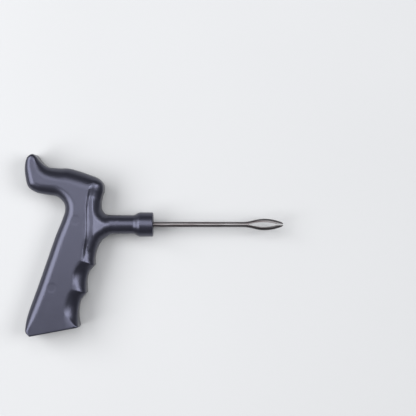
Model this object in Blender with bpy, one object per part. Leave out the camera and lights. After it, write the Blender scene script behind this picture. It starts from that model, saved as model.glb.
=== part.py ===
"""Tyre plug insertion tool: a pistol-grip handle in two moulded shells that clamp a split-eye needle.

The design axes are u along the needle towards its tip, v towards the horn and w across the handle. They meet
at the centre of the collar's end face. The tool lies on its side: u is +X, v is +Y and w is +Z. All design
sizes are in millimetres, and every mesh is written in metres.
"""

import math

import bmesh
import bpy
import numpy as np
from mathutils import Vector

MM = 0.001
GAP = 0.3                    # clearance kept between pieces that touch

# Handle
THICKNESS = 22.0             # across the two shells
WALL = 2.8                   # around the outline
FACE_WALL = 3.4              # over the flat side faces
FINGER_WALL = 6.5            # behind the line through the finger crests
CREST_ACROSS = 20.4          # that line, across the grip from its centre
NECK_RADIUS = 6.15
COLLAR_RADIUS = 8.05
COLLAR_LENGTH = 8.4
FLARE_LENGTH = 5.1
NOSE_ROOT = -27.5            # u where the plain neck ends and the fairing into the body starts
FAIRING_SLOPE = 0.265        # the side face falls by this share towards the neck
FAIRING_HALF_WIDTH = 4.0     # the fairing's side banks start this far from the needle's axis
FAIRING_BANK = 0.55          # their rise for each millimetre further out
CAVITY_FRONT = -38.0         # u where the hollow grip stops and the solid nose starts
GRIP_TILT = math.radians(19.3)   # the grip leans back by this much from v
GRIP_CENTRE = (-57.0, -19.7)     # middle of the grip's screws and label
SCREW_SPACING = 46.7
RIB_THICKNESS = 1.6
RIB_REACH = 120.0            # the ribs run from wall to wall
RIB_STATIONS = (-37.0, -10.0, 8.0, 38.0)  # along the grip from its centre
KEEPER_WIDTH = 9.5           # block around the needle's bent tail
KEEPER_LENGTH = 26.0
KEEPER_CENTRE_V = -8.5

# Label
LABEL_LENGTH = 59.0
LABEL_TOP_WIDTH = 11.0
LABEL_FOOT_WIDTH = 12.6
LABEL_SHIFT = -1.4           # from the grip's axis towards its back
LABEL_SIDE_EDGE = 3.2        # largest edge rounding along the back on the label side
LABEL_THICKNESS = 0.5
LABEL_RECESS = 0.9

# Needle
SHANK_RADIUS = 1.75
TAIL_U = -43.0               # the bent tail's axis
TAIL_END_V = -18.0
BEND_RADIUS = 4.0
EYE_START = 59.5
EYE_WIDEST = 73.0
TIP = 85.7
EYE_HALF_WIDTH = 3.8
EYE_HALF_THICKNESS = 1.5
LENS_START = 63.2
LENS_END = 82.0
LENS_HALF_WIDTH = 1.55
SLIT_WIDTH = 0.6

# Screws
SCREW_RADIUS = 1.4
HEAD_RADIUS = 2.8
HEAD_HEIGHT = 1.9
HEAD_SEAT = 6.6              # depth of the head's seat below the parting plane
SCREW_REACH = 6.8            # length of thread above the parting plane
BOSS_RADIUS = 3.3
SEAT_BOSS_RADIUS = 4.5
PEG_RADIUS = 1.2
PEG_BOSS_RADIUS = 2.8
PEG_REACH = 2.2
PEG_PLACES = ((-74.0, 31.0), (-60.0, -63.0))

# Side outline as smooth runs that meet at corners. Each knot is u, v and the edge rounding there.
SCALLOP_TOP = [
    (-27.3, -6.2, 2.5), (-31.2, -8.6, 4.5), (-33.9, -10.6, 5.5), (-35.8, -13.5, 6.0), (-37.2, -16.5, 6.0),
    (-38.1, -20.1, 6.0), (-38.5, -23.4, 5.0), (-38.3, -26.4, 3.5),
]
SCALLOP_MIDDLE = [
    (-38.3, -26.4, 3.5), (-40.1, -28.4, 4.5), (-41.8, -30.4, 5.5), (-42.9, -33.0, 6.0), (-43.6, -36.3, 6.0),
    (-43.8, -39.9, 5.5), (-43.6, -44.7, 3.5),
]
SCALLOP_LOW = [
    (-43.6, -44.7, 3.5), (-45.4, -46.9, 4.5), (-47.4, -49.5, 5.5), (-48.5, -52.8, 6.0), (-49.0, -56.4, 6.0),
    (-49.2, -60.4, 5.0), (-48.8, -63.7, 3.0), (-48.2, -67.3, 1.0),
]
GRIP_FOOT = [(-48.2, -67.3, 1.0), (-64.3, -70.3, 1.0), (-80.4, -73.3, 1.0)]
BACK_AND_HORN = [
    (-80.4, -73.3, 1.0), (-83.2, -70.3, 2.0), (-83.4, -66.3, 4.0), (-82.2, -59.1, 6.0), (-76.1, -41.7, 7.0),
    (-70.0, -24.3, 7.0), (-63.9, -6.9, 7.0), (-59.9, 3.0, 7.0), (-57.9, 9.5, 7.0), (-58.6, 13.9, 7.0),
    (-63.0, 18.1, 7.0), (-68.2, 19.1, 7.0), (-76.1, 20.7, 6.5), (-81.7, 24.4, 6.0), (-83.7, 31.4, 5.5),
    (-83.8, 39.3, 4.0), (-81.8, 44.7, 2.5), (-78.4, 46.4, 2.0), (-76.1, 44.9, 2.5), (-74.1, 42.2, 4.0),
    (-69.5, 38.3, 6.0), (-61.6, 37.3, 7.0), (-55.6, 37.2, 7.0), (-48.4, 35.3, 7.0), (-41.8, 33.0, 7.0),
    (-37.8, 31.5, 6.5), (-35.2, 29.9, 6.0), (-33.2, 27.4, 6.0), (-32.4, 24.8, 6.0), (-32.5, 21.8, 6.0),
    (-33.4, 18.8, 6.0), (-34.2, 15.5, 6.0), (-34.2, 11.9, 5.5), (-33.0, 8.7, 4.5), (-31.2, 6.8, 3.0),
    (-28.6, 6.2, 2.5),
]


def spline(knots, steps):
    """Points on a centripetal Catmull-Rom curve through the knots, without the last one."""
    p = np.array(knots, float)
    p = np.vstack([2 * p[0] - p[1], p, 2 * p[-1] - p[-2]])
    out = []
    for i in range(1, len(p) - 2):
        t = np.cumsum([0.0] + [math.dist(p[i + k][:2], p[i + k + 1][:2]) ** 0.5 for k in (-1, 0, 1)])
        for x in np.linspace(t[1], t[2], steps, endpoint=False):
            a = [
                ((t[k + 1] - x) * p[i - 1 + k] + (x - t[k]) * p[i + k]) / (t[k + 1] - t[k]) for k in range(3)
            ]
            b = [((t[k + 2] - x) * a[k] + (x - t[k]) * a[k + 1]) / (t[k + 2] - t[k]) for k in range(2)]
            out.append(((t[2] - x) * b[0] + (x - t[1]) * b[1]) / (t[2] - t[1]))
    return np.array(out)


def side_outline():
    """The handle's closed side outline, clockwise, as rows of u, v and edge rounding."""
    runs = [
        spline(SCALLOP_TOP, 2), spline(SCALLOP_MIDDLE, 2), spline(SCALLOP_LOW, 2), spline(GRIP_FOOT, 1),
        spline(BACK_AND_HORN, 2),
    ]
    return np.vstack(runs + [np.array([BACK_AND_HORN[-1]])])


def outward(points):
    """Unit normals of a clockwise outline, pointing out of it."""
    before = points[:, :2] - np.roll(points[:, :2], 1, axis=0)
    after = np.roll(points[:, :2], -1, axis=0) - points[:, :2]
    tangent = before / np.linalg.norm(before, axis=1)[:, None] + after / np.linalg.norm(after, axis=1)[:, None]
    tangent /= np.linalg.norm(tangent, axis=1)[:, None]
    return np.stack([-tangent[:, 1], tangent[:, 0]], axis=1)


def distance_to(outline, points):
    """Shortest distance from each point to the closed outline."""
    a = outline[:, :2]
    edge = np.roll(a, -1, axis=0) - a
    offset = points[:, None, :] - a[None]
    along = np.clip((offset * edge).sum(2) / (edge ** 2).sum(1), 0, 1)
    return np.linalg.norm(offset - along[..., None] * edge, axis=2).min(1)


def inset(outline, depth):
    """The outline moved inwards, with the points that fold over at tight corners left out."""
    moved = outline[:, :2] - outward(outline) * depth
    return moved[distance_to(outline, moved) > 0.97 * depth]


def grip_point(along, across=0.0):
    """A place on the grip, measured along and across its leaning axis from its centre."""
    return (
        GRIP_CENTRE[0] + along * math.sin(GRIP_TILT) + across * math.cos(GRIP_TILT),
        GRIP_CENTRE[1] + along * math.cos(GRIP_TILT) - across * math.sin(GRIP_TILT),
    )


SCREW_PLACES = {"upper": grip_point(SCREW_SPACING / 2), "lower": grip_point(-SCREW_SPACING / 2)}


def plastic_or_metal(name, colour, roughness, metallic=0.0):
    made = bpy.data.materials.new(name)
    made.use_nodes = True
    shader = made.node_tree.nodes["Principled BSDF"]
    shader.inputs["Base Color"].default_value = (*colour, 1.0)
    shader.inputs["Roughness"].default_value = roughness
    shader.inputs["Metallic"].default_value = metallic
    return made


def new_object(name, bm, material=None):
    """A closed mesh object, under the tool's own frame, with its faces pointing out."""
    bmesh.ops.remove_doubles(bm, verts=bm.verts, dist=1e-7)
    bmesh.ops.recalc_face_normals(bm, faces=bm.faces)
    bmesh.ops.triangulate(bm, faces=[f for f in bm.faces if len(f.verts) > 4])
    mesh = bpy.data.meshes.new(name)
    bm.to_mesh(mesh)
    bm.free()
    made = bpy.data.objects.new(name, mesh)
    bpy.context.collection.objects.link(made)
    made.parent = bpy.data.objects["tool_frame"]
    if material:
        mesh.materials.append(material)
    return made


def stack(name, loops, material=None):
    """A solid through closed loops of equally many points, capped at both ends."""
    bm = bmesh.new()
    rings = [[bm.verts.new(Vector(p) * MM) for p in loop] for loop in loops]
    for low, high in zip(rings, rings[1:]):
        for i in range(len(low)):
            j = (i + 1) % len(low)
            bm.faces.new((low[i], low[j], high[j], high[i]))
    bm.faces.new(rings[0])
    bm.faces.new(rings[-1])
    return new_object(name, bm, material)


def prism(name, outline, low, high):
    """An upright prism from w = low to w = high over a plan outline."""
    return stack(name, [[(p[0], p[1], w) for p in outline] for w in (low, high)])


def disc(name, centre, profile, segments=28, material=None):
    """A round piece on a w axis: profile rows are radius and w, from one end to the other."""
    turns = [2 * math.pi * k / segments for k in range(segments)]
    return stack(
        name,
        [[(centre[0] + r * math.cos(a), centre[1] + r * math.sin(a), w) for a in turns] for r, w in profile],
        material,
    )


def block(name, centre, length, width, low, high, tilt=0.0):
    """A box whose length lies along a line that leans back from v by the tilt."""
    along = Vector((math.sin(tilt), math.cos(tilt))) * length / 2
    across = Vector((math.cos(tilt), -math.sin(tilt))) * width / 2
    middle = Vector(centre)
    corners = [middle - along - across, middle + along - across, middle + along + across, middle - along + across]
    return prism(name, corners, low, high)


def combine(target, operation, operand):
    """Join the operand to the target or cut it away, and keep the operand out of the model."""
    modifier = target.modifiers.new(operand.name, "BOOLEAN")
    modifier.operation = operation
    modifier.solver = "EXACT"
    modifier.object = operand
    operand.hide_render = True
    operand.display_type = "WIRE"


def bar(name, stations, segments, material=None):
    """A solid along a path in the u-v plane: rows of u, v, heading, half width and half thickness."""
    loops = []
    for u, v, heading, half_width, half_thickness in stations:
        side = (-math.sin(heading), math.cos(heading))
        loops.append([
            (
                u + side[0] * half_width * math.cos(a),
                v + side[1] * half_width * math.cos(a),
                half_thickness * math.sin(a),
            )
            for a in (2 * math.pi * k / segments for k in range(segments))
        ])
    return stack(name, loops, material)


def tail_stations(radius, overrun):
    """The shank's hidden end: up the tail, round the bend, to the start of the straight shaft."""
    rows = [(TAIL_U, TAIL_END_V - overrun, math.pi / 2, radius, radius)]
    for k in range(7):
        turn = math.pi / 2 * k / 6
        rows.append((
            TAIL_U + BEND_RADIUS * (1 - math.cos(turn)),
            -BEND_RADIUS * (1 - math.sin(turn)),
            math.pi / 2 - turn,
            radius,
            radius,
        ))
    return rows


def body_half(name, side, material):
    """One half of the handle's body: its side outline with rounded edges, w > 0 or w < 0."""
    outline = side_outline()
    normal = outward(outline)
    radius = outline[:, 2]
    if side < 0:
        beside_label = np.array([u < -55 and v < 12 for u, v, _ in outline])
        radius = np.where(beside_label, np.minimum(radius, LABEL_SIDE_EDGE), radius)
    loops = [[(u, v, side * GAP / 2) for u, v, _ in outline]]
    for turn in np.radians([0, 30, 60, 90]):
        plan = outline[:, :2] - normal * (radius * (1 - math.cos(turn)))[:, None]
        height = THICKNESS / 2 - radius * (1 - math.sin(turn))
        loops.append([(p[0], p[1], side * w) for p, w in zip(plan, height)])
    return stack(name, loops, material)


def slope_to_neck(shell, side, tag):
    """Cut the side face down to the neck in a straight slope between two banks."""
    reach = 18.0
    loops = []
    for u in (NOSE_ROOT - 20.0, NOSE_ROOT + 4.0):
        face = NECK_RADIUS + FAIRING_SLOPE * (NOSE_ROOT - u)
        rows = []
        for v in (-reach, -FAIRING_HALF_WIDTH - 3.0, -FAIRING_HALF_WIDTH, 0.0, FAIRING_HALF_WIDTH,
                  FAIRING_HALF_WIDTH + 3.0, reach):
            beyond = max(0.0, abs(v) - FAIRING_HALF_WIDTH)
            rows.append((u, v, side * (face + FAIRING_BANK * beyond)))
        loops.append(rows + [(u, reach, side * 30.0), (u, -reach, side * 30.0)])
    combine(shell, "DIFFERENCE", stack("neck_slope_" + tag, loops))


def nose(name):
    """The round nose: a fairing out of the body, the neck, the flare and the collar."""
    profile = [(9.9, -37.0), (8.6, -34.0), (7.4, -31.5), (6.6, -29.3), (NECK_RADIUS, NOSE_ROOT)]
    flare_start = -COLLAR_LENGTH - FLARE_LENGTH
    for share in np.linspace(0, 1, 6):
        blend = (1 - math.cos(math.pi * share)) / 2
        profile.append((
            NECK_RADIUS + (COLLAR_RADIUS - NECK_RADIUS) * blend,
            flare_start + FLARE_LENGTH * share,
        ))
    profile += [(COLLAR_RADIUS, -0.9), (COLLAR_RADIUS - 0.3, -0.25), (COLLAR_RADIUS - 0.9, 0.0)]
    stations = [(u, 0.0, 0.0, radius, radius) for radius, u in profile]
    return bar(name, stations, 40)


def hollow_out(shell, side, tag):
    """Hollow one half, but leave screw bosses, peg seats, ribs, a thick wall behind the finger grooves and
    the block that grips the bent tail.
    """
    face = side * (THICKNESS / 2 - FACE_WALL)
    above, below = -side * 4.0, face + side
    plan = inset(side_outline(), WALL)
    plan[:, 0] = np.minimum(plan[:, 0], CAVITY_FRONT)
    hollow = prism("hollow_" + tag, plan, -side * 3.0, face)
    boss_radius = BOSS_RADIUS if side > 0 else SEAT_BOSS_RADIUS
    posts = [(centre, boss_radius) for centre in SCREW_PLACES.values()]
    posts += [(centre, PEG_BOSS_RADIUS) for centre in PEG_PLACES]
    for k, (centre, radius) in enumerate(posts):
        combine(hollow, "DIFFERENCE", disc(f"post_{k}_{tag}", centre, [(radius, above), (radius, below)], 24))
    for k, along in enumerate(RIB_STATIONS):
        rib = block(f"rib_{k}_{tag}", grip_point(along), RIB_THICKNESS, RIB_REACH, above, below, GRIP_TILT)
        combine(hollow, "DIFFERENCE", rib)
    keeper_centre = (CAVITY_FRONT + 2.0 - KEEPER_WIDTH / 2, KEEPER_CENTRE_V)
    keeper = block("keeper_" + tag, keeper_centre, KEEPER_LENGTH, KEEPER_WIDTH, above, below)
    combine(hollow, "DIFFERENCE", keeper)
    front_length, front_width = 70.0, 20.0
    front_place = grip_point(-front_length / 2, CREST_ACROSS - FINGER_WALL + front_width / 2)
    front = block("finger_wall_" + tag, front_place, front_length, front_width, above, below, GRIP_TILT)
    combine(hollow, "DIFFERENCE", front)
    combine(shell, "DIFFERENCE", hollow)


def trim_to_half(shell, side, tag):
    """Cut the shell back to its own side of the parting plane."""
    reach = 200.0
    other = block("other_side_" + tag, (-40.0, 0.0), reach, reach, side * GAP / 2, -side * 30.0)
    combine(shell, "DIFFERENCE", other)


def cut_channel(shell, tag):
    """The channel that the needle's shank and tail lie in."""
    radius = SHANK_RADIUS + GAP
    rows = tail_stations(radius, GAP) + [(3.0, 0.0, 0.0, radius, radius)]
    combine(shell, "DIFFERENCE", bar("channel_" + tag, rows, 20))


def handle_shell_left(material):
    shell = body_half("handle_shell_left", 1, material)
    slope_to_neck(shell, 1, "left")
    combine(shell, "UNION", nose("nose_left"))
    hollow_out(shell, 1, "left")
    trim_to_half(shell, 1, "left")
    hole = SCREW_RADIUS + GAP
    for place, centre in SCREW_PLACES.items():
        pilot = disc(f"pilot_{place}", centre, [(hole, -1.0), (hole, SCREW_REACH + GAP)], 20)
        combine(shell, "DIFFERENCE", pilot)
    cut_channel(shell, "left")
    for k, centre in enumerate(PEG_PLACES):
        profile = [(0.8, -PEG_REACH), (PEG_RADIUS, 0.5 - PEG_REACH), (PEG_RADIUS, 2.0)]
        combine(shell, "UNION", disc(f"peg_{k}", centre, profile, 16))
    return shell


def handle_shell_right(material):
    shell = body_half("handle_shell_right", -1, material)
    slope_to_neck(shell, -1, "right")
    combine(shell, "UNION", nose("nose_right"))
    hollow_out(shell, -1, "right")
    trim_to_half(shell, -1, "right")
    outside = -THICKNESS / 2
    seat_hole = HEAD_RADIUS + GAP
    hole = SCREW_RADIUS + GAP
    for place, centre in SCREW_PLACES.items():
        steps = [(seat_hole, outside - 1.0), (seat_hole, -HEAD_SEAT), (hole, -HEAD_SEAT), (hole, 1.0)]
        combine(shell, "DIFFERENCE", disc("clearance_" + place, centre, steps, 24))
    recess = prism("label_recess", label_corners(GAP), outside - 1.0, outside + LABEL_RECESS)
    combine(shell, "DIFFERENCE", recess)
    for k, centre in enumerate(PEG_PLACES):
        peg_hole = PEG_RADIUS + GAP
        profile = [(peg_hole, 1.0), (peg_hole, -PEG_REACH - GAP)]
        combine(shell, "DIFFERENCE", disc(f"peg_hole_{k}", centre, profile, 20))
    cut_channel(shell, "right")
    return shell


def label_corners(grow):
    """Corners of the slightly tapered label, moved outwards by grow."""
    end = LABEL_LENGTH / 2 + grow
    top, foot = LABEL_TOP_WIDTH / 2 + grow, LABEL_FOOT_WIDTH / 2 + grow
    return [
        grip_point(-end, LABEL_SHIFT - foot), grip_point(end, LABEL_SHIFT - top),
        grip_point(end, LABEL_SHIFT + top), grip_point(-end, LABEL_SHIFT + foot),
    ]


def label_panel(material):
    """The blank plate in the right shell's recess, which hides the screws."""
    inner = -THICKNESS / 2 + LABEL_RECESS - GAP
    panel = prism("label_panel", label_corners(0.0), inner - LABEL_THICKNESS, inner)
    panel.data.materials.append(material)
    edge = panel.modifiers.new("edge", "BEVEL")
    edge.width = 0.15 * MM
    edge.segments = 1
    return panel


def screw(place, material):
    """A pan-head self-tapping screw with a cross recess, driven from the label side."""
    centre = SCREW_PLACES[place]
    seat = -HEAD_SEAT - GAP
    head = seat - HEAD_HEIGHT
    profile = [
        (HEAD_RADIUS - 0.9, head), (HEAD_RADIUS - 0.3, head + 0.3), (HEAD_RADIUS, head + 0.9), (HEAD_RADIUS, seat),
        (SCREW_RADIUS, seat), (SCREW_RADIUS, SCREW_REACH - 1.6), (0.3, SCREW_REACH - GAP),
    ]
    made = disc(place + "_screw", centre, profile, 24, material)
    slot_length = 2.8
    slot_width = 0.7
    for k, turn in enumerate((0.0, math.pi / 2)):
        slot = block(
            f"{place}_drive_{k}", centre, slot_length, slot_width, head - 1.0, head + 1.1, turn + math.pi / 4
        )
        combine(made, "DIFFERENCE", slot)
    return made


def eye_half_width(u):
    """Half the forged eye's outside width at u."""
    if u < EYE_WIDEST:
        share = (u - EYE_START) / (EYE_WIDEST - EYE_START)
        blend = (1 - math.cos(math.pi * share)) / 2
        return SHANK_RADIUS + (EYE_HALF_WIDTH - SHANK_RADIUS) * blend
    share = (u - EYE_WIDEST) / (TIP - EYE_WIDEST)
    tip_half_width = 1.2
    return tip_half_width + (EYE_HALF_WIDTH - tip_half_width) * (1 - share ** 1.9)


def opening_half_width(u):
    """Half the gap between the prongs at u: a lens that narrows to the slit through the tip."""
    share = (u - LENS_START) / (LENS_END - LENS_START)
    return max(SLIT_WIDTH / 2, LENS_HALF_WIDTH * max(0.0, math.sin(math.pi * share)) ** 0.75)


def needle(material):
    """The split-eye needle, from the tail hidden in the grip to its open tip."""
    stations = tail_stations(SHANK_RADIUS, 0.0)
    stations.append((EYE_START, 0.0, 0.0, SHANK_RADIUS, SHANK_RADIUS))
    for u in np.linspace(EYE_START, TIP - 0.6, 20)[1:]:
        flat = min(1.0, (u - EYE_START) / 5.0)
        thickness = SHANK_RADIUS + (EYE_HALF_THICKNESS - SHANK_RADIUS) * flat
        stations.append((u, 0.0, 0.0, eye_half_width(u), thickness))
    stations.append((TIP - 0.2, 0.0, 0.0, 1.15, 0.95))
    stations.append((TIP, 0.0, 0.0, 0.8, 0.5))
    made = bar("needle", stations, 20, material)
    edge = [(u, opening_half_width(u)) for u in np.linspace(LENS_START, LENS_END, 17)[1:]]
    edge.append((TIP + 1.0, SLIT_WIDTH / 2))
    opening = [(LENS_START, 0.0)] + edge + [(u, -v) for u, v in reversed(edge)]
    combine(made, "DIFFERENCE", prism("eye_opening", opening, -5.0, 5.0))
    return made


def main():
    for old in list(bpy.data.objects):
        bpy.data.objects.remove(old, do_unlink=True)
    frame = bpy.data.objects.new("tool_frame", None)
    bpy.context.collection.objects.link(frame)
    outline = side_outline()
    low, high = outline[:, :2].min(0), outline[:, :2].max(0)
    middle = Vector((-(low[0] + TIP) / 2, -(low[1] + high[1]) / 2, THICKNESS / 2))
    frame.location = middle * MM

    plastic = (0.032, 0.033, 0.038)
    handle_shell_left(plastic_or_metal("shell_plastic_left", plastic, 0.42))
    handle_shell_right(plastic_or_metal("shell_plastic_right", plastic, 0.42))
    label_panel(plastic_or_metal("label_plastic", (0.045, 0.046, 0.052), 0.55))
    for place in SCREW_PLACES:
        screw(place, plastic_or_metal(place + "_screw_steel", (0.55, 0.55, 0.53), 0.35, 1.0))
    needle(plastic_or_metal("needle_steel", (0.62, 0.60, 0.58), 0.22, 1.0))

    for made in bpy.data.objects:
        if made.type == "MESH" and not made.hide_render:
            made.data.shade_smooth()
            made.data.set_sharp_from_angle(angle=math.radians(35))


main()
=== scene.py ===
"""Looks of the tyre plug insertion tool: satin black moulded handle halves, a split-eye steel needle that
they clamp, a blank label panel and the two screws under it.

Shapes are signed distances in millimetres along u (needle towards its tip), v (towards the horn) and
w (across the handle), measured from the centre of the collar's end face, and are meshed by dual contouring.
"""

import math

import bmesh
import bpy
import numpy as np
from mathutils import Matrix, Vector


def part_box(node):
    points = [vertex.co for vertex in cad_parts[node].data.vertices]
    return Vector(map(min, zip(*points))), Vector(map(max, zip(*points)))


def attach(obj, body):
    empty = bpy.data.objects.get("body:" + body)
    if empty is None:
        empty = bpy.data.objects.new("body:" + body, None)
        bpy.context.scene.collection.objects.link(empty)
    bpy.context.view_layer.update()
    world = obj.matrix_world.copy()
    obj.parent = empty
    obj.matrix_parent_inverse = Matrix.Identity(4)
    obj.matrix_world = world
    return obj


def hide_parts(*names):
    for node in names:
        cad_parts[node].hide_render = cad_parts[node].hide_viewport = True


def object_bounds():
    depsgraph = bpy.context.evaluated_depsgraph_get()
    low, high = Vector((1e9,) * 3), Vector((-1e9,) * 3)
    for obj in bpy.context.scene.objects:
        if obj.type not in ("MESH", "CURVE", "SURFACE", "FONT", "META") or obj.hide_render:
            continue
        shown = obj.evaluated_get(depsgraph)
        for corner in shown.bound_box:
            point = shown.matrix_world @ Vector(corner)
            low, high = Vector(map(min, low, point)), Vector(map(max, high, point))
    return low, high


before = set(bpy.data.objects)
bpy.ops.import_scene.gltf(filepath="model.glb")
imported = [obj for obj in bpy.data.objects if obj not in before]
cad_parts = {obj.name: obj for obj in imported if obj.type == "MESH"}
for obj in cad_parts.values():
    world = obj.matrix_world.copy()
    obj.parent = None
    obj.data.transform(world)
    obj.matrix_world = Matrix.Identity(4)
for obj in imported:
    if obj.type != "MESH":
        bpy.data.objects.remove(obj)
cad_low, cad_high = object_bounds()

MM = 0.001
GAP = 0.3
SHARP_ANGLE = math.radians(40.0)

# Handle
HALF_THICKNESS = 11.0
WALL = 2.8
FACE_WALL = 3.4
SKIN = 2.0                   # least wall left under the rounded edges
FINGER_WALL = 6.5
CREST_ACROSS = 20.4
NECK_RADIUS = 6.15
COLLAR_RADIUS = 8.05
COLLAR_LENGTH = 8.4
COLLAR_EDGE = 0.9
FLARE_LENGTH = 5.1
NOSE_ROOT = -27.5
FAIRING_SLOPE = 0.32
FAIRING_ROUNDING = 7.0       # of the fairing's cross-section
FAIRING_BACK = -42.0
FAIRING_FRONT = -22.0
FAIRING_OVERLAP = 0.6        # how far the neck's radius runs on under the slope
FAIRING_FADE = (15.0, 10.0)  # where the fairing starts to sink away from the neck, and over what width
FAIRING_SINK = 3.0
CAVITY_FRONT = -38.0
GRIP_TILT = math.radians(19.3)
GRIP_CENTRE = (-57.0, -19.7)
SCREW_SPACING = 46.7
RIB_THICKNESS = 1.6
RIB_STATIONS = (-37.0, -10.0, 8.0, 38.0)
KEEPER = (9.5, 26.0, -8.5)   # width, length and centre v of the block round the bent tail

# Finger grooves: each one's top and foot along the grip, its depth across the thickness, the share of its
# length where it is deepest, and the power that it starts with.
GROOVES = ((22.0, -0.3, 1.0, 0.55, 2.2), (-0.3, -19.8, 2.1, 0.36, 0.9), (-19.8, -44.5, 1.9, 0.36, 1.1))
GROOVE_REACH = 3.4           # how far in front of the crease a groove comes to its depth
GROOVE_POWER = 1.4
CIRCLE_MARKS = ((-50.2, 3.0), (-65.7, -41.0))
CIRCLE_RADIUS = 2.95
CIRCLE_EDGE = 0.7
CIRCLE_DEPTH = 0.06
FOOT_V = -73.3
PEG_TIP_ROUNDING = 0.4

# Label
LABEL_LENGTH = 59.0
LABEL_TOP_WIDTH = 11.0
LABEL_FOOT_WIDTH = 12.6
LABEL_SHIFT = -1.4
LABEL_SIDE_EDGE = 3.2
LABEL_THICKNESS = 0.5
LABEL_RECESS = 0.9
LABEL_EDGE_FRONT = -54.0     # the slimmer edge rounding beside the label starts behind this u
LABEL_EDGE_TOP = 13.0        # and below this v

# Needle
SHANK_RADIUS = 1.75
TAIL_U = -43.0
TAIL_END_V = -18.0
BEND_RADIUS = 4.0
EYE_START = 59.5
EYE_WIDEST = 73.0
TIP = 85.7
EYE_HALF_WIDTH = 3.8
EYE_HALF_THICKNESS = 1.5
LENS_START = 63.2
LENS_END = 82.0
LENS_HALF_WIDTH = 1.55
SLIT_WIDTH = 0.6
TIP_HALF_WIDTH = 1.2
TIP_LENGTH = 1.6             # of the rounded end

# Screws and locating pegs
SCREW_RADIUS = 1.4
HEAD_RADIUS = 2.8
HEAD_HEIGHT = 1.9
HEAD_SEAT = 6.6
CROSS_LENGTH = 1.4
CROSS_WIDTH = 0.35
CROSS_DEPTH = 1.1
THREAD_PITCH = 1.25
THREAD_DEPTH = 0.42
THREAD_TAPER = 2.4
SCREW_REACH = 6.8
BOSS_RADIUS = 3.3
SEAT_BOSS_RADIUS = 4.5
PEG_RADIUS = 1.2
PEG_BOSS_RADIUS = 2.8
PEG_REACH = 2.2
PEG_PLACES = ((-74.0, 31.0), (-60.0, -63.0))

# Side outline, clockwise, as smooth runs that meet at corners: u, v and the edge rounding there.
SCALLOP_TOP = [
    (-20.0, -6.1, 10.5), (-27.3, -6.2, 10.5), (-31.2, -8.6, 10.5), (-33.9, -10.6, 10.5), (-35.8, -13.5, 10.5),
    (-37.2, -16.5, 10.5), (-38.1, -20.1, 10.0), (-38.5, -23.4, 9.5), (-38.3, -26.4, 9.0),
]
SCALLOP_MIDDLE = [
    (-38.3, -26.4, 9.0), (-40.1, -28.4, 9.5), (-41.8, -30.4, 10.0), (-42.9, -33.0, 10.0), (-43.6, -36.3, 10.0),
    (-43.8, -39.9, 9.5), (-43.6, -44.7, 9.0),
]
SCALLOP_LOW = [
    (-43.6, -44.7, 9.0), (-45.4, -46.9, 9.5), (-47.4, -49.5, 10.0), (-48.5, -52.8, 10.0), (-49.0, -56.4, 10.0),
    (-49.2, -60.4, 9.0), (-48.8, -63.7, 6.0), (-48.2, -67.3, 1.2),
]
GRIP_FOOT = [(-48.2, -67.3, 1.2), (-64.3, -70.3, 1.0), (-80.4, -73.3, 1.0)]
BACK_AND_HORN = [
    (-80.4, -73.3, 1.0), (-83.2, -70.3, 2.0), (-83.4, -66.3, 4.0), (-82.2, -59.1, 6.5), (-76.1, -41.7, 7.5),
    (-70.0, -24.3, 7.5), (-63.9, -6.9, 7.5), (-59.9, 3.0, 7.5), (-57.9, 9.5, 7.5), (-58.6, 13.9, 7.5),
    (-63.0, 18.1, 7.5), (-68.2, 19.1, 7.5), (-76.1, 20.7, 7.0), (-81.7, 24.4, 6.5), (-83.7, 31.4, 6.0),
    (-83.8, 39.3, 4.5), (-81.8, 44.7, 3.0), (-78.4, 46.4, 2.5), (-76.1, 44.9, 3.0), (-74.1, 42.2, 5.0),
    (-69.5, 38.3, 8.0), (-61.6, 37.3, 10.0), (-55.6, 37.2, 10.5), (-48.4, 35.3, 10.5), (-41.8, 33.0, 10.0),
    (-37.8, 31.5, 9.5), (-35.2, 29.9, 9.5), (-33.2, 27.4, 10.0), (-32.4, 24.8, 10.5), (-32.5, 21.8, 10.5),
    (-33.4, 18.8, 10.5), (-34.2, 15.5, 10.5), (-34.2, 11.9, 10.5), (-33.0, 8.7, 10.5), (-31.2, 6.8, 10.5),
    (-27.3, 6.2, 10.5), (-20.0, 6.1, 10.5),
]
# The body's own front edge where it runs on behind the neck, from the neck's upper side to its lower side.
BEHIND_NECK = [
    (-34.4, 12.3, 10.5), (-34.9, 7.0, 10.5), (-35.6, 1.0, 10.5), (-35.4, -5.0, 10.5), (-35.0, -10.5, 10.5),
    (-37.2, -16.5, 10.5),
]
FRONT_CUT = 0.18             # share of the front edge's rounding that the outline cuts off
CUT_TOP = 31.0
CUT_FOOT = -66.0
CUT_FADE = 5.0
# The crease between the flat side face and the raised front ridge, from the top down: u, v and its depth.
CREASE = [
    (-39.6, 30.0, 0.0), (-40.9, 26.0, 0.7), (-42.4, 20.1, 1.2), (-43.4, 12.9, 1.35), (-43.3, 6.3, 1.35),
    (-43.0, -0.3, 1.3), (-43.3, -5.6, 1.2), (-44.1, -10.2, 1.05), (-45.0, -14.9, 0.95), (-45.6, -20.1, 0.8),
    (-46.9, -24.6, 0.5), (-49.8, -28.0, 0.25), (-51.5, -31.0, 0.2), (-52.4, -35.3, 0.2), (-53.6, -42.6, 0.2),
    (-55.9, -48.5, 0.15), (-57.4, -53.1, 0.15), (-58.1, -58.4, 0.15), (-57.8, -64.4, 0.1), (-57.4, -76.0, 0.1),
]
CREASE_BANK = 2.0            # width of the step down to the front ridge
CREASE_START = 0.7
LABEL_CREASE = 0.35          # share of the crease's depth on the label side

# Grid of the plan fields
PLAN_STEP = 0.25
PLAN_LOW = np.array([-86.0, -76.0])
PLAN_SIZE = (352, 500)

# Dual contouring
GRID_SHIFT = np.array([0.137, 0.271, 0.193])  # in steps, so that no grid plane lies on a flat face
PULL_TO_MIDDLE = 0.08


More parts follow.
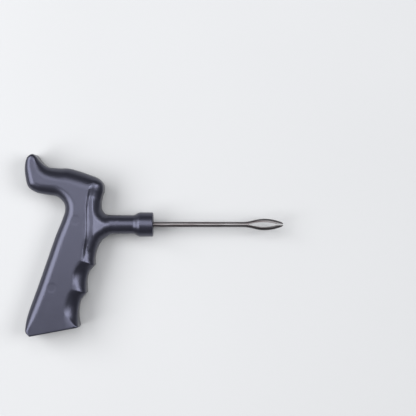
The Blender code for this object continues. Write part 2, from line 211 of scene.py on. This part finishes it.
# ---------------------------------------------------------------- plan fields of the handle

def spline(knots, steps):
    """Points on a centripetal Catmull-Rom curve through the knots, without the last one."""
    p = np.array(knots, float)
    p = np.vstack([2 * p[0] - p[1], p, 2 * p[-1] - p[-2]])
    out = []
    for i in range(1, len(p) - 2):
        t = np.cumsum([0.0] + [math.dist(p[i + k][:2], p[i + k + 1][:2]) ** 0.5 for k in (-1, 0, 1)])
        for x in np.linspace(t[1], t[2], steps, endpoint=False):
            a = [((t[k + 1] - x) * p[i - 1 + k] + (x - t[k]) * p[i + k]) / (t[k + 1] - t[k]) for k in range(3)]
            b = [((t[k + 2] - x) * a[k] + (x - t[k]) * a[k + 1]) / (t[k + 2] - t[k]) for k in range(2)]
            out.append(((t[2] - x) * b[0] + (x - t[1]) * b[1]) / (t[2] - t[1]))
    return np.array(out)


def nearest_on(line, closed, points):
    """Distance from each point to a line, the line's third value there, and the side the point lies on."""
    a = line if closed else line[:-1]
    b = np.roll(line, -1, axis=0) if closed else line[1:]
    edge = b[:, :2] - a[:, :2]
    distance, value, side = [], [], []
    for part in np.array_split(points, max(1, len(points) // 8000)):
        offset = part[:, None, :] - a[None, :, :2]
        along = np.clip((offset * edge).sum(2) / (edge ** 2).sum(1), 0, 1)
        apart = offset - along[..., None] * edge
        length = np.linalg.norm(apart, axis=2)
        k = length.argmin(1)
        row = np.arange(len(part))
        distance.append(length[row, k])
        value.append(a[k, 2] + along[row, k] * (b[k, 2] - a[k, 2]))
        side.append(np.sign(edge[k, 0] * apart[row, k, 1] - edge[k, 1] * apart[row, k, 0]))
    return np.concatenate(distance), np.concatenate(value), np.concatenate(side)


def within(line, points):
    """True for the points inside a closed line, by counting the edges that a ray crosses."""
    inside = np.zeros(len(points), bool)
    for (u0, v0, _), (u1, v1, _) in zip(line, np.roll(line, -1, axis=0)):
        if v0 == v1:
            continue
        level = (points[:, 1] >= min(v0, v1)) & (points[:, 1] < max(v0, v1))
        inside ^= level & (points[:, 0] < u0 + (points[:, 1] - v0) / (v1 - v0) * (u1 - u0))
    return inside


def soften(grid, passes):
    """The grid, blurred a little by each pass."""
    for _ in range(passes):
        for axis in (0, 1):
            pad = [(0, 0), (0, 0)]
            pad[axis] = (1, 1)
            wide = np.moveaxis(np.pad(grid, pad, mode="edge"), axis, 0)
            grid = np.moveaxis((wide[:-2] + 2 * wide[1:-1] + wide[2:]) / 4, 0, axis)
    return grid


def ease(x):
    x = np.clip(x, 0, 1)
    return x * x * (3 - 2 * x)


def on_grip(u, v):
    """Places along and across the leaning grip, from its centre."""
    du, dv = u - GRIP_CENTRE[0], v - GRIP_CENTRE[1]
    return (
        du * math.sin(GRIP_TILT) + dv * math.cos(GRIP_TILT),
        du * math.cos(GRIP_TILT) - dv * math.sin(GRIP_TILT),
    )


def grip_point(along, across=0.0):
    """The place at these distances along and across the leaning grip."""
    return (
        GRIP_CENTRE[0] + along * math.sin(GRIP_TILT) + across * math.cos(GRIP_TILT),
        GRIP_CENTRE[1] + along * math.cos(GRIP_TILT) - across * math.sin(GRIP_TILT),
    )


def smooth_least(a, b, blend):
    """The smaller of two fields, with a fillet where they meet."""
    h = np.clip(0.5 + 0.5 * (b - a) / blend, 0, 1)
    return b * (1 - h) + a * h - blend * h * (1 - h)


def plan_fields():
    """Over the side view, for each half of the handle: distance to the outline with and without the neck,
    edge rounding, cut at the front edge, and half thickness."""
    axes = [PLAN_LOW[k] + PLAN_STEP * np.arange(PLAN_SIZE[k]) for k in (0, 1)]
    u, v = np.meshgrid(*axes, indexing="ij")
    points = np.stack([u.ravel(), v.ravel()], 1)
    grip_front = [spline(run, 8) for run in (SCALLOP_MIDDLE, SCALLOP_LOW, GRIP_FOOT)]
    above_neck = BACK_AND_HORN[:-5]
    with_neck = [spline(SCALLOP_TOP, 8)] + grip_front
    with_neck += [spline(BACK_AND_HORN, 8), np.array(BACK_AND_HORN[-1:])]
    body_only = [spline(BEHIND_NECK[-1:] + SCALLOP_TOP[6:], 8)] + grip_front
    body_only += [spline(above_neck + BEHIND_NECK[:-1], 8), np.array(BEHIND_NECK[-2:-1])]
    distances = []
    for outline in (np.vstack(with_neck), np.vstack(body_only)):
        apart, rounding, _ = nearest_on(outline, True, points)
        distances.append(np.where(within(outline, points), -apart, apart).reshape(PLAN_SIZE))
    distance, body_distance = distances
    rounding = rounding.reshape(PLAN_SIZE)

    off_crease, crease_depth, side = nearest_on(spline(CREASE, 6), False, points)
    front = (off_crease * side).reshape(PLAN_SIZE)
    crease_depth = crease_depth.reshape(PLAN_SIZE)
    crease = np.clip((front - CREASE_START) / CREASE_BANK + 0.5, 0, 1) * crease_depth

    along, _ = on_grip(u, v)
    groove = np.zeros(PLAN_SIZE)
    for top, foot, depth, deepest, rise in GROOVES:
        share = np.clip((top - along) / (top - foot), 0, 1)
        fall = rise * (1 - deepest) / deepest
        shape = share ** rise * (1 - share) ** fall
        groove += depth * shape / (deepest ** rise * (1 - deepest) ** fall)
    groove *= 1 - np.exp(-((np.maximum(front, 0) / GROOVE_REACH) ** GROOVE_POWER))

    marks = sum(
        1 - ease((np.hypot(u - cu, v - cv) - CIRCLE_RADIUS) / CIRCLE_EDGE + 0.5) for cu, cv in CIRCLE_MARKS
    )
    plain = HALF_THICKNESS - crease - groove - CIRCLE_DEPTH * marks
    label = HALF_THICKNESS - LABEL_CREASE * crease - groove
    beside_label = ease((LABEL_EDGE_FRONT - u) / 2) * ease((LABEL_EDGE_TOP - v) / 3)
    beside_label *= ease((v - CUT_FOOT) / 4)
    slim = rounding + (np.minimum(rounding, LABEL_SIDE_EDGE) - rounding) * beside_label
    cut = FRONT_CUT * ease(front / 2) * ease((CUT_TOP - v) / CUT_FADE) * ease((v - CUT_FOOT) / CUT_FADE)
    cut = soften(cut * rounding, 40)
    return {
        1: (distance, body_distance, soften(rounding, 60), cut, soften(plain, 3)),
        -1: (distance, body_distance, soften(slim, 60), cut, soften(label, 3)),
    }


def sample(grid, u, v):
    """A plan field at any places, by straight interpolation."""
    x = np.clip((u - PLAN_LOW[0]) / PLAN_STEP, 0, PLAN_SIZE[0] - 1.001)
    y = np.clip((v - PLAN_LOW[1]) / PLAN_STEP, 0, PLAN_SIZE[1] - 1.001)
    i, j = x.astype(int), y.astype(int)
    x, y = x - i, y - j
    return (
        grid[i, j] * (1 - x) * (1 - y) + grid[i + 1, j] * x * (1 - y)
        + grid[i, j + 1] * (1 - x) * y + grid[i + 1, j + 1] * x * y
    )


# ---------------------------------------------------------------- signed distances

def rounded_corner(a, b, radius):
    """Where two half spaces meet, with their corner rounded."""
    return np.minimum(np.maximum(a, b) + radius, 0) + np.hypot(
        np.maximum(a + radius, 0), np.maximum(b + radius, 0)
    ) - radius


def nose_field(u, v, w):
    """The round neck, its flare and the collar."""
    share = np.clip((u + COLLAR_LENGTH + FLARE_LENGTH) / FLARE_LENGTH, 0, 1)
    swell = (COLLAR_RADIUS - NECK_RADIUS) * (1 - np.cos(math.pi * share)) / 2
    radial = np.hypot(v, w) - (NECK_RADIUS + swell)
    return np.maximum(rounded_corner(radial * 0.95, u, COLLAR_EDGE), NOSE_ROOT - 2.0 - u)


def fairing_field(u, v, w, distance, face):
    """The straight slope from the front ridge down to the neck, with a round back."""
    rise = FAIRING_SLOPE * np.maximum(0, NOSE_ROOT - FAIRING_OVERLAP - u)
    height = np.minimum(face, NECK_RADIUS + rise)
    slant = math.cos(math.atan(FAIRING_SLOPE))
    cone = rounded_corner(distance, (w - height) * slant, np.minimum(FAIRING_ROUNDING, height - 0.15))
    cone = cone + FAIRING_SINK * ease((np.abs(v) - FAIRING_FADE[0]) / FAIRING_FADE[1])
    return np.maximum(cone, np.maximum(FAIRING_BACK - u, u - FAIRING_FRONT))


def tail_path(u, v):
    """Distance in the side view from the needle's centre line: straight shaft, bend and tail."""
    bend_u = TAIL_U + BEND_RADIUS
    straight = np.where(u > bend_u, np.abs(v), 1e3)
    tail = np.where(v < -BEND_RADIUS, np.abs(u - TAIL_U), 1e3)
    bend = np.where(
        (u <= bend_u) & (v >= -BEND_RADIUS),
        np.abs(np.hypot(u - bend_u, v + BEND_RADIUS) - BEND_RADIUS),
        1e3,
    )
    return np.minimum(np.minimum(straight, tail), bend)


def shaft_field(u, v, w, radius, overrun):
    return np.maximum(np.hypot(tail_path(u, v), w) - radius, TAIL_END_V - overrun - v)


def box_field(a, half_a, b, half_b):
    return np.maximum(np.abs(a) - half_a, np.abs(b) - half_b)


def label_field(u, v, grow):
    along, across = on_grip(u, v)
    mean = (LABEL_TOP_WIDTH + LABEL_FOOT_WIDTH) / 4
    slope = (LABEL_TOP_WIDTH - LABEL_FOOT_WIDTH) / 2 / LABEL_LENGTH
    return np.maximum(
        np.abs(across - LABEL_SHIFT) - mean - slope * along - grow, np.abs(along) - LABEL_LENGTH / 2 - grow
    )


SCREW_PLACES = {"upper": grip_point(SCREW_SPACING / 2), "lower": grip_point(-SCREW_SPACING / 2)}


def hollow_field(u, v, w, distance, side):
    """The room inside one half, with bosses, peg seats, ribs and the tail's keeper left standing."""
    along, across = on_grip(u, v)
    room = np.maximum(distance + WALL, u - CAVITY_FRONT)
    boss = BOSS_RADIUS if side > 0 else SEAT_BOSS_RADIUS
    posts = [(place, boss) for place in SCREW_PLACES.values()]
    posts += [(place, PEG_BOSS_RADIUS) for place in PEG_PLACES]
    for (cu, cv), radius in posts:
        room = np.maximum(room, radius - np.hypot(u - cu, v - cv))
    for station in RIB_STATIONS:
        room = np.maximum(room, RIB_THICKNESS / 2 - np.abs(along - station))
    width, length, centre = KEEPER
    keeper_u = CAVITY_FRONT + 2.0 - width / 2
    room = np.maximum(room, -box_field(u - keeper_u, width / 2, v - centre, length / 2))
    room = np.maximum(room, np.minimum(across - (CREST_ACROSS - FINGER_WALL), -along))
    return np.maximum(room, w - (HALF_THICKNESS - FACE_WALL))


def half_field(fields, side):
    """One half of the handle. Depth w counts away from the parting plane on either side."""
    distance_grid, body_grid, rounding_grid, cut_grid, height_grid = fields[side]

    def field(p):
        u, v, w = p[:, 0], p[:, 1], p[:, 2]
        distance = sample(distance_grid, u, v)
        rounding = sample(rounding_grid, u, v)
        height = sample(height_grid, u, v)
        edge = sample(body_grid, u, v)
        body = rounded_corner(edge - sample(cut_grid, u, v), w - height, rounding)
        body = rounded_corner(body, edge, 0.8)
        outer = smooth_least(body, fairing_field(u, v, w, distance, height), 1.0)
        outer = np.maximum(smooth_least(outer, nose_field(u, v, w), 0.5), w - height)
        room = np.maximum(hollow_field(u, v, w, distance, side), outer + SKIN)
        shell = np.maximum(outer, -room)
        shell = np.maximum(shell, -shaft_field(u, v, w, SHANK_RADIUS + GAP, GAP))
        hole = SCREW_RADIUS + GAP
        for cu, cv in SCREW_PLACES.values():
            apart = np.hypot(u - cu, v - cv)
            if side > 0:
                shell = np.maximum(shell, -np.maximum(apart - hole, w - SCREW_REACH - GAP))
            else:
                shell = np.maximum(shell, hole - apart)
                shell = np.maximum(shell, -np.maximum(apart - HEAD_RADIUS - GAP, HEAD_SEAT - w))
        if side < 0:
            recess = np.maximum(label_field(u, v, GAP), HALF_THICKNESS - LABEL_RECESS - w)
            shell = np.maximum(shell, -recess)
        shell = np.maximum(shell, GAP / 2 - w)
        for cu, cv in PEG_PLACES:
            apart = np.hypot(u - cu, v - cv)
            if side > 0:
                peg = rounded_corner(apart - PEG_RADIUS, -PEG_REACH - w, PEG_TIP_ROUNDING)
                peg = np.maximum(peg, w - 2.0)
                shell = np.minimum(shell, peg)
            else:
                shell = np.maximum(shell, -np.maximum(apart - PEG_RADIUS - GAP, w - PEG_REACH - GAP))
        return shell

    return field


def needle_field(p):
    """The bent tail, the straight shaft and the eye with its two prongs."""
    u, v, w = p[:, 0], p[:, 1], p[:, 2]
    shaft = np.maximum(shaft_field(u, v, w, SHANK_RADIUS, 0.0), u - EYE_START - 1.0)
    swell = np.clip((u - EYE_START) / (EYE_WIDEST - EYE_START), 0, 1)
    taper = np.clip((u - EYE_WIDEST) / (TIP - EYE_WIDEST), 0, 1)
    wide = np.where(
        u < EYE_WIDEST,
        SHANK_RADIUS + (EYE_HALF_WIDTH - SHANK_RADIUS) * (1 - np.cos(math.pi * swell)) / 2,
        TIP_HALF_WIDTH + (EYE_HALF_WIDTH - TIP_HALF_WIDTH) * (1 - taper ** 1.9),
    )
    thick = SHANK_RADIUS + (EYE_HALF_THICKNESS - SHANK_RADIUS) * ease((u - EYE_START) / 6.0)
    point = np.sqrt(np.clip(1 - np.clip((u - TIP + TIP_LENGTH) / TIP_LENGTH, 0, 1) ** 2, 0.01, 1))
    wide, thick = wide * (0.35 + 0.65 * point), thick * (0.25 + 0.75 * point)
    near = np.hypot(v / wide, w / thick)
    scale = np.maximum(np.hypot(v / wide ** 2, w / thick ** 2), 1e-6)
    eye = np.maximum(np.maximum(near * (near - 1) / scale, u - TIP), EYE_START - u)
    share = np.clip((u - LENS_START) / (LENS_END - LENS_START), 0, 1)
    gap = np.maximum(SLIT_WIDTH / 2, LENS_HALF_WIDTH * np.sin(math.pi * share) ** 0.75)
    opening = np.maximum((np.abs(v) - gap) * 0.95, LENS_START - u)
    return np.minimum(shaft, -smooth_least(-eye, opening, 0.35))


def screw_field(p):
    """A pan-head self-tapping screw about w, with its seat at the head's underside and a cross recess."""
    x, y, w = p[:, 0], p[:, 1], p[:, 2]
    radial = np.hypot(x, y)
    seat = -HEAD_SEAT - GAP
    turn = np.arctan2(y, x) / (2 * math.pi)
    phase = np.mod(w / THREAD_PITCH - turn, 1.0)
    taper = np.clip((SCREW_REACH - GAP - w) / THREAD_TAPER, 0, 1)
    crest = THREAD_DEPTH * np.clip(1 - np.abs(phase - 0.5) * 3.2, 0, 1) * ease((w - seat - 0.8) / 1.0)
    thread = (radial - (SCREW_RADIUS - THREAD_DEPTH) * (0.35 + 0.65 * taper) - crest * taper) * 0.8
    thread = np.maximum(thread, np.maximum(seat - 0.3 - w, w - (SCREW_REACH - GAP)))
    head = np.maximum(rounded_corner(radial - HEAD_RADIUS, seat - HEAD_HEIGHT - w, 0.9), w - seat)
    for turn_by in (math.pi / 4, -math.pi / 4):
        a = x * math.cos(turn_by) + y * math.sin(turn_by)
        b = -x * math.sin(turn_by) + y * math.cos(turn_by)
        slot_floor = w - (seat - HEAD_HEIGHT + CROSS_DEPTH)
        head = np.maximum(head, -np.maximum(box_field(a, CROSS_LENGTH, b, CROSS_WIDTH), slot_floor))
    return np.minimum(thread, head)


# ---------------------------------------------------------------- meshing

def gradient(field, p, reach):
    """Unit directions in which the field grows, from four samples round each point."""
    out = np.zeros_like(p)
    for way in ((1, -1, -1), (-1, -1, 1), (-1, 1, -1), (1, 1, 1)):
        way = np.array(way, float)
        out += way * field(p + reach * way)[:, None]
    return out / np.maximum(np.linalg.norm(out, axis=1), 1e-9)[:, None]


def contour(field, low, high, step):
    """Vertices and quads of a field's zero surface, by dual contouring, so that its creases stay crisp."""
    low = np.array(low, float) + step * GRID_SHIFT
    size = tuple(int(math.ceil((high[k] - low[k]) / step)) + 1 for k in range(3))
    cells = tuple(n - 1 for n in size)
    value = np.empty(size)
    plane = np.stack(np.meshgrid(*[low[k] + step * np.arange(size[k]) for k in (1, 2)], indexing="ij"), -1)
    plane = plane.reshape(-1, 2)
    block = max(1, 200000 // len(plane))
    for start in range(0, size[0], block):
        us = low[0] + step * np.arange(start, min(size[0], start + block))
        points = np.hstack([np.repeat(us, len(plane))[:, None], np.tile(plane, (len(us), 1))])
        value[start:start + len(us)] = field(points).reshape(len(us), size[1], size[2])
    inside = value < 0
    rings, crossings = [], []
    for axis in range(3):
        b, c = (axis + 1) % 3, (axis + 2) % 3
        unit = np.eye(3, dtype=int)[axis]
        near = np.moveaxis(inside, axis, 0)
        at = np.argwhere(near[:-1] != near[1:])
        order = [0, 1, 2]
        order.remove(axis)
        full = np.empty_like(at)
        full[:, axis], full[:, order[0]], full[:, order[1]] = at[:, 0], at[:, 1], at[:, 2]
        at = full[(full[:, b] > 0) & (full[:, b] < cells[b]) & (full[:, c] > 0) & (full[:, c] < cells[c])]
        lower, upper = value[tuple(at.T)], value[tuple((at + unit).T)]
        share_low, share_high = np.zeros(len(at)), np.ones(len(at))
        share = lower / (lower - upper)
        for _ in range(3):
            here = field(low + step * (at + share[:, None] * unit))
            same = (here < 0) == (lower < 0)
            lower, upper = np.where(same, here, lower), np.where(same, upper, here)
            share_low, share_high = np.where(same, share, share_low), np.where(same, share_high, share)
            share = share_low + (share_high - share_low) * np.clip(lower / (lower - upper), 0.05, 0.95)
        crossings.append(low + step * (at + share[:, None] * unit))
        ring = []
        for db, dc in ((-1, -1), (0, -1), (0, 0), (-1, 0)):
            cell = at.copy()
            cell[:, b] += db
            cell[:, c] += dc
            ring.append(np.ravel_multi_index(tuple(cell.T), cells))
        ring = np.stack(ring, 1)
        outward = inside[tuple(at.T)]
        rings.append(np.where(outward[:, None], ring, ring[:, ::-1]))
    rings, crossings = np.vstack(rings), np.vstack(crossings)
    normals = gradient(field, crossings, 0.02 * step)
    cell_ids, owner = np.unique(rings, return_inverse=True)
    owner = owner.reshape(rings.shape)
    count = np.bincount(owner.ravel(), minlength=len(cell_ids)).astype(float)
    middle = np.zeros((len(cell_ids), 3))
    for k in range(4):
        for d in range(3):
            middle[:, d] += np.bincount(owner[:, k], crossings[:, d], len(cell_ids))
    middle /= count[:, None]
    matrix, right = np.zeros((len(cell_ids), 3, 3)), np.zeros((len(cell_ids), 3))
    for k in range(4):
        reach = (normals * (crossings - middle[owner[:, k]])).sum(1)
        for d in range(3):
            right[:, d] += np.bincount(owner[:, k], normals[:, d] * reach, len(cell_ids))
            for e in range(3):
                matrix[:, d, e] += np.bincount(owner[:, k], normals[:, d] * normals[:, e], len(cell_ids))
    matrix += PULL_TO_MIDDLE * np.eye(3)
    vertices = middle + np.linalg.solve(matrix, right[..., None])[..., 0]
    corner = low + step * np.stack(np.unravel_index(cell_ids, cells), 1)
    vertices = np.clip(vertices, corner + 0.02 * step, corner + 0.98 * step)
    return vertices, owner


def place(points):
    """Design millimetres to the frame's metres."""
    return points * MM + np.array(design_origin)


def add_object(name, data):
    made = bpy.data.objects.new(name, data)
    bpy.context.scene.collection.objects.link(made)
    return made


def add_shaded(name, mesh, material):
    """Adds a mesh shown smooth except at its sharp edges."""
    mesh.shade_smooth()
    mesh.set_sharp_from_angle(angle=SHARP_ANGLE)
    mesh.materials.append(material)
    return add_object(name, mesh)


def mesh_piece(name, vertices, faces, material):
    """A piece from arrays of vertices and of faces that all have the same number of corners."""
    mesh = bpy.data.meshes.new(name)
    mesh.vertices.add(len(vertices))
    mesh.vertices.foreach_set("co", place(vertices).astype(np.float32).ravel())
    mesh.loops.add(faces.size)
    mesh.loops.foreach_set("vertex_index", faces.astype(np.int32).ravel())
    mesh.polygons.add(len(faces))
    width = faces.shape[1]
    mesh.polygons.foreach_set("loop_start", np.arange(0, faces.size, width, dtype=np.int32))
    mesh.update(calc_edges=True)
    mesh.validate()
    return add_shaded(name, mesh, material)


def stand_for(piece, node):
    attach(piece, "root")
    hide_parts(node)


# ---------------------------------------------------------------- materials

PLASTIC_TINT = (0.70, 0.72, 1.0, 1.0)
NOISE_LOW, NOISE_HIGH = 0.3, 0.7


class Shading:
    """A small helper that adds and joins shader nodes."""

    def __init__(self, name):
        self.material = bpy.data.materials.new(name)
        self.material.use_nodes = True
        self.tree = self.material.node_tree
        self.shader = self.tree.nodes["Principled BSDF"]
        self.place = self.add("ShaderNodeTexCoord").outputs["Object"]

    def add(self, kind, **values):
        node = self.tree.nodes.new(kind)
        for key, value in values.items():
            node.inputs[key].default_value = value
        return node

    def link(self, source, target):
        self.tree.links.new(source, target)

    def noise(self, scale, detail, roughness=0.5, stretch=None):
        node = self.add("ShaderNodeTexNoise", Scale=scale, Detail=detail, Roughness=roughness)
        source = self.place
        if stretch:
            mapping = self.add("ShaderNodeMapping", Scale=stretch)
            self.link(source, mapping.inputs["Vector"])
            source = mapping.outputs["Vector"]
        self.link(source, node.inputs["Vector"])
        return node.outputs["Fac"]

    def spread(self, source, low, high):
        """Maps the middle of a noise's range to the values between low and high."""
        limits = {"From Min": NOISE_LOW, "From Max": NOISE_HIGH, "To Min": low, "To Max": high}
        node = self.add("ShaderNodeMapRange", **limits)
        self.link(source, node.inputs["Value"])
        return node.outputs["Result"]

    def tint(self, source, low, high):
        """Maps the middle of a noise's range to the colours between low and high."""
        node = self.add("ShaderNodeValToRGB")
        ends = node.color_ramp.elements
        ends[0].position, ends[1].position = NOISE_LOW, NOISE_HIGH
        ends[0].color, ends[1].color = (*low, 1.0), (*high, 1.0)
        self.link(source, node.inputs["Fac"])
        return node.outputs["Color"]

    def bump(self, source, depth, strength, under=None):
        node = self.add("ShaderNodeBump", Strength=strength, Distance=depth)
        self.link(source, node.inputs["Height"])
        if under:
            self.link(under, node.inputs["Normal"])
        return node.outputs["Normal"]

    def finish(self, colour, roughness, normal, **constants):
        self.link(colour, self.shader.inputs["Base Color"])
        self.link(roughness, self.shader.inputs["Roughness"])
        self.link(normal, self.shader.inputs["Normal"])
        for key, value in constants.items():
            self.shader.inputs[key.replace("_", " ")].default_value = value
        return self.material


def shell_plastic(name):
    """Satin black moulded plastic with fine grain and faint cloudy smudges."""
    s = Shading(name)
    cloud, grain, smudge = s.noise(45.0, 4.0), s.noise(2600.0, 2.0), s.noise(120.0, 5.0, 0.6)
    colour = s.tint(cloud, (0.0070, 0.0070, 0.0105), (0.0095, 0.0095, 0.0135))
    roughness = s.spread(smudge, 0.31, 0.36)
    normal = s.bump(grain, 0.00001, 0.5, s.bump(smudge, 0.00004, 0.25))
    return s.finish(colour, roughness, normal, Specular_IOR_Level=0.9, Specular_Tint=PLASTIC_TINT)


def label_plastic(name):
    """Slightly glossier plastic, brushed along the grip."""
    s = Shading(name)
    cloud, brushed = s.noise(60.0, 4.0), s.noise(900.0, 3.0, 0.6, (1.0, 0.08, 1.0))
    colour = s.tint(cloud, (0.012, 0.012, 0.016), (0.018, 0.018, 0.023))
    roughness = s.spread(brushed, 0.24, 0.32)
    normal = s.bump(brushed, 0.00001, 0.4)
    return s.finish(colour, roughness, normal, Specular_IOR_Level=0.8, Specular_Tint=PLASTIC_TINT)


def needle_steel(name):
    """Drawn steel wire with brownish streaks along its length."""
    s = Shading(name)
    streak, cloud = s.noise(900.0, 4.0, 0.6, (0.06, 1.0, 1.0)), s.noise(160.0, 5.0, 0.6)
    colour = s.tint(streak, (0.085, 0.068, 0.070), (0.22, 0.215, 0.22))
    roughness = s.spread(cloud, 0.30, 0.42)
    normal = s.bump(streak, 0.00002, 0.4)
    return s.finish(colour, roughness, normal, Metallic=1.0)


def screw_steel(name):
    s = Shading(name)
    cloud, fine = s.noise(300.0, 4.0), s.noise(2500.0, 3.0)
    colour = s.tint(cloud, (0.48, 0.47, 0.44), (0.62, 0.61, 0.57))
    roughness = s.spread(fine, 0.28, 0.42)
    normal = s.bump(fine, 0.00001, 0.4)
    return s.finish(colour, roughness, normal, Metallic=1.0)


def floor_paint(name):
    s = Shading(name)
    cloud = s.noise(3.0, 2.0)
    colour = s.tint(cloud, (0.44, 0.445, 0.455), (0.46, 0.465, 0.475))
    roughness = s.spread(cloud, 0.85, 0.9)
    normal = s.bump(s.noise(900.0, 2.0), 0.00002, 0.1)
    return s.finish(colour, roughness, normal, Specular_IOR_Level=0.1)


# ---------------------------------------------------------------- pieces

def make_half(fields, side, name):
    step = 0.5
    vertices, faces = contour(half_field(fields, side), (-85.5, -75.0, -3.2), (1.6, 48.0, 12.0), step)
    if side < 0:
        vertices = vertices * np.array([1, 1, -1])
        faces = faces[:, ::-1]
    return mesh_piece(name, vertices, faces, shell_plastic(name + "_plastic"))


def make_needle():
    step = 0.25
    vertices, faces = contour(needle_field, (-46.0, -19.0, -2.4), (87.0, 4.6, 2.4), step)
    return mesh_piece("needle_body", vertices, faces, needle_steel("needle_body_steel"))


def make_screw(place_name):
    step = 0.18
    vertices, faces = contour(screw_field, (-3.3, -3.3, -9.4), (3.3, 3.3, 7.2), step)
    vertices = vertices + np.array([*SCREW_PLACES[place_name], 0.0])
    return mesh_piece(place_name + "_screw_body", vertices, faces, screw_steel(place_name + "_steel"))


def label_rings():
    """Rings of the blank label plate: rounded corners, a soft edge on the shown side, a raised border."""
    inner = -HALF_THICKNESS + LABEL_RECESS - GAP
    outer = inner - LABEL_THICKNESS
    corner_radius, soft, border, relief = 0.8, 0.16, 0.7, 0.06

    def ring(shrink, w):
        radius = max(0.15, corner_radius - shrink)
        points = []
        for end, edge, start in ((1, 1, 0), (1, -1, 90), (-1, -1, 180), (-1, 1, 270)):
            half = (LABEL_FOOT_WIDTH if end < 0 else LABEL_TOP_WIDTH) / 2
            along = end * (LABEL_LENGTH / 2 - shrink - radius)
            across = LABEL_SHIFT + edge * (half - shrink - radius)
            for k in range(7):
                turn = math.radians(start + 15 * k)
                spot = grip_point(along + radius * math.sin(turn), across + radius * math.cos(turn))
                points.append((*spot, w))
        return points

    rings = [ring(0.0, inner)]
    for k in range(5):
        turn = math.pi / 2 * k / 4
        rings.append(ring(soft * (1 - math.cos(turn)), outer + soft * (1 - math.sin(turn))))
    raised = outer + relief
    return rings + [ring(border, outer), ring(border + 0.12, raised), ring(border + 0.3, raised)]


def make_label():
    bm = bmesh.new()
    rings = [[bm.verts.new(Vector(p)) for p in place(np.array(ring))] for ring in label_rings()]
    for lower, upper in zip(rings, rings[1:]):
        for i in range(len(lower)):
            j = (i + 1) % len(lower)
            bm.faces.new((lower[i], lower[j], upper[j], upper[i]))
    bm.faces.new(rings[0])
    bm.faces.new(rings[-1])
    bmesh.ops.recalc_face_normals(bm, faces=bm.faces)
    mesh = bpy.data.meshes.new("label_plate")
    bm.to_mesh(mesh)
    bm.free()
    return add_shaded("label_plate", mesh, label_plastic("label_plate_plastic"))


def build_tool():
    """Makes every piece, each in place of its own CAD node."""
    fields = plan_fields()
    left = make_half(fields, 1, "handle_left")
    right = make_half(fields, -1, "handle_right")
    stand_for(left, "handle_shell_left")
    stand_for(right, "handle_shell_right")
    stand_for(make_needle(), "needle")
    stand_for(make_label(), "label_panel")
    for place_name in SCREW_PLACES:
        stand_for(make_screw(place_name), place_name + "_screw")


# ---------------------------------------------------------------- studio

def add_floor():
    size, cells = 3.0, 24
    vertices, faces = [], []
    for j in range(cells + 1):
        for i in range(cells + 1):
            vertices.append((size * (i / cells - 0.5), size * (j / cells - 0.5), 0.0))
    for j in range(cells):
        for i in range(cells):
            k = j * (cells + 1) + i
            faces.append((k, k + 1, k + cells + 2, k + cells + 1))
    mesh = bpy.data.meshes.new("studio_floor")
    mesh.from_pydata(vertices, [], faces)
    mesh.materials.append(floor_paint("studio_floor_paint"))
    floor = add_object("studio_floor", mesh)
    floor.location.z = -0.0004


def add_softbox(name, direction, away, width, height, radiance):
    """A rectangular light that faces the tool from a direction, with a set brightness of its own surface."""
    light = bpy.data.lights.new(name, "AREA")
    light.shape = "RECTANGLE"
    light.size, light.size_y = width, height
    light.energy = radiance * width * height * math.pi
    lamp = add_object(name, light)
    towards = Vector(direction).normalized()
    lamp.location = tool_middle + towards * away
    lamp.rotation_mode = "QUATERNION"
    lamp.rotation_quaternion = towards.to_track_quat("Z", "Y")


def add_camera():
    """Straight down at the middle of the view, which lies ahead of the handle and above the needle."""
    middle_u, middle_v = 36.1, 10.9
    view_width = 0.27456
    data = bpy.data.cameras.new("camera")
    data.lens, data.sensor_width = 100.0, 36.0
    camera = add_object("camera", data)
    away = view_width * data.lens / data.sensor_width
    camera.location = Vector(place(np.array([middle_u, middle_v, 0.0]))) + Vector((0, 0, away))
    data.clip_start, data.clip_end = 0.01, 10.0
    bpy.context.scene.camera = camera


def add_world():
    world = bpy.data.worlds.new("studio")
    world.use_nodes = True
    background = world.node_tree.nodes["Background"]
    background.inputs["Color"].default_value = (0.9, 0.93, 1.0, 1.0)
    background.inputs["Strength"].default_value = 0.12
    bpy.context.scene.world = world


handle_low, handle_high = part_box("handle_shell_left")
needle_low, needle_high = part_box("needle")
design_origin = (handle_high.x, handle_low.y - FOOT_V * MM, (needle_low.z + needle_high.z) / 2)
tool_middle = (cad_low + cad_high) / 2

build_tool()
add_floor()
add_world()
add_softbox("overhead", (0.0, 0.3, 1.0), 1.3, 0.7, 1.0, 3.6)
add_softbox("left_box", (-1.0, 0.12, 1.0), 1.3, 1.5, 1.0, 6.0)
add_softbox("right_box", (0.70, 0.12, 1.0), 1.3, 0.6, 0.65, 8.2)
add_camera()
bpy.context.scene.view_settings.view_transform = "Standard"
